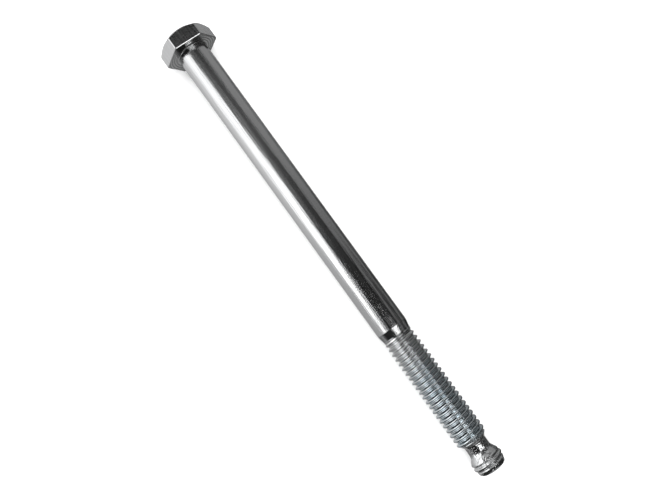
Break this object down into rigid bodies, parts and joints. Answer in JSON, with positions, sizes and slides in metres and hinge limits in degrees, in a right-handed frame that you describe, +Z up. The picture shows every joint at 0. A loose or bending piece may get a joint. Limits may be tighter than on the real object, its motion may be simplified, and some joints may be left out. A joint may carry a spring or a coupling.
{
  "type": "engine mount bolt",
  "caption": "Long zinc-plated hex-head bolt with a plain shank, a short threaded end, a turned neck and a threaded lead collar, for an engine mount.",
  "frame": {"origin": "middle of the bearing face under the head, on the bolt's axis", "axes": "+X runs from the head to the tip and +Z is up, as the bolt lies on one flat of its head and on its collar. The bolt's own axis dips 1.14 degrees below +X towards the tip"},
  "size_m": [0.1531, 0.0174, 0.0151],
  "materials": {
    "zinc_plate": "bright zinc plate, bluish on the rolled thread"
  },
  "bodies": {
    "root": {"bolt": "zinc_plate"}
  },
  "joints": []
}
